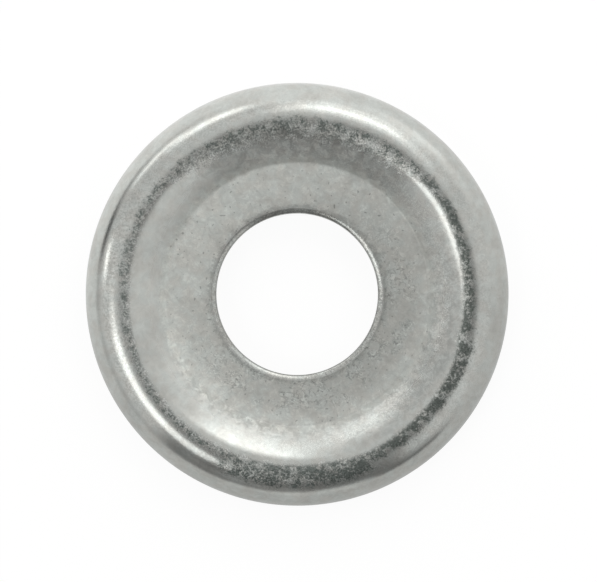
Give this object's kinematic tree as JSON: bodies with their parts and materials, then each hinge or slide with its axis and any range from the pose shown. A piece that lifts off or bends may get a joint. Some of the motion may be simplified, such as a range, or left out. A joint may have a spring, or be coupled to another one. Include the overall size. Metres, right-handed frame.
{
  "type": "cup washer",
  "caption": "Round pressed-steel cup washer: a flat recessed floor with a centre bolt hole, inside a rounded ridge whose shoulder turns down to a short skirt.",
  "frame": {"origin": "centre of the circle that the skirt's foot stands on, on the washer's axis", "axes": "+Z along the axis, out of the recess; X and Y are in the plane of the foot, and the picture's right and top"},
  "size_m": [0.034, 0.034, 0.0045],
  "materials": {
    "zinc_plated_steel": "bright zinc plating, worn: polished shoulder, mottled matt ridge and a cloudy, speckled floor"
  },
  "bodies": {
    "root": {"washer": "zinc_plated_steel"}
  },
  "joints": []
}
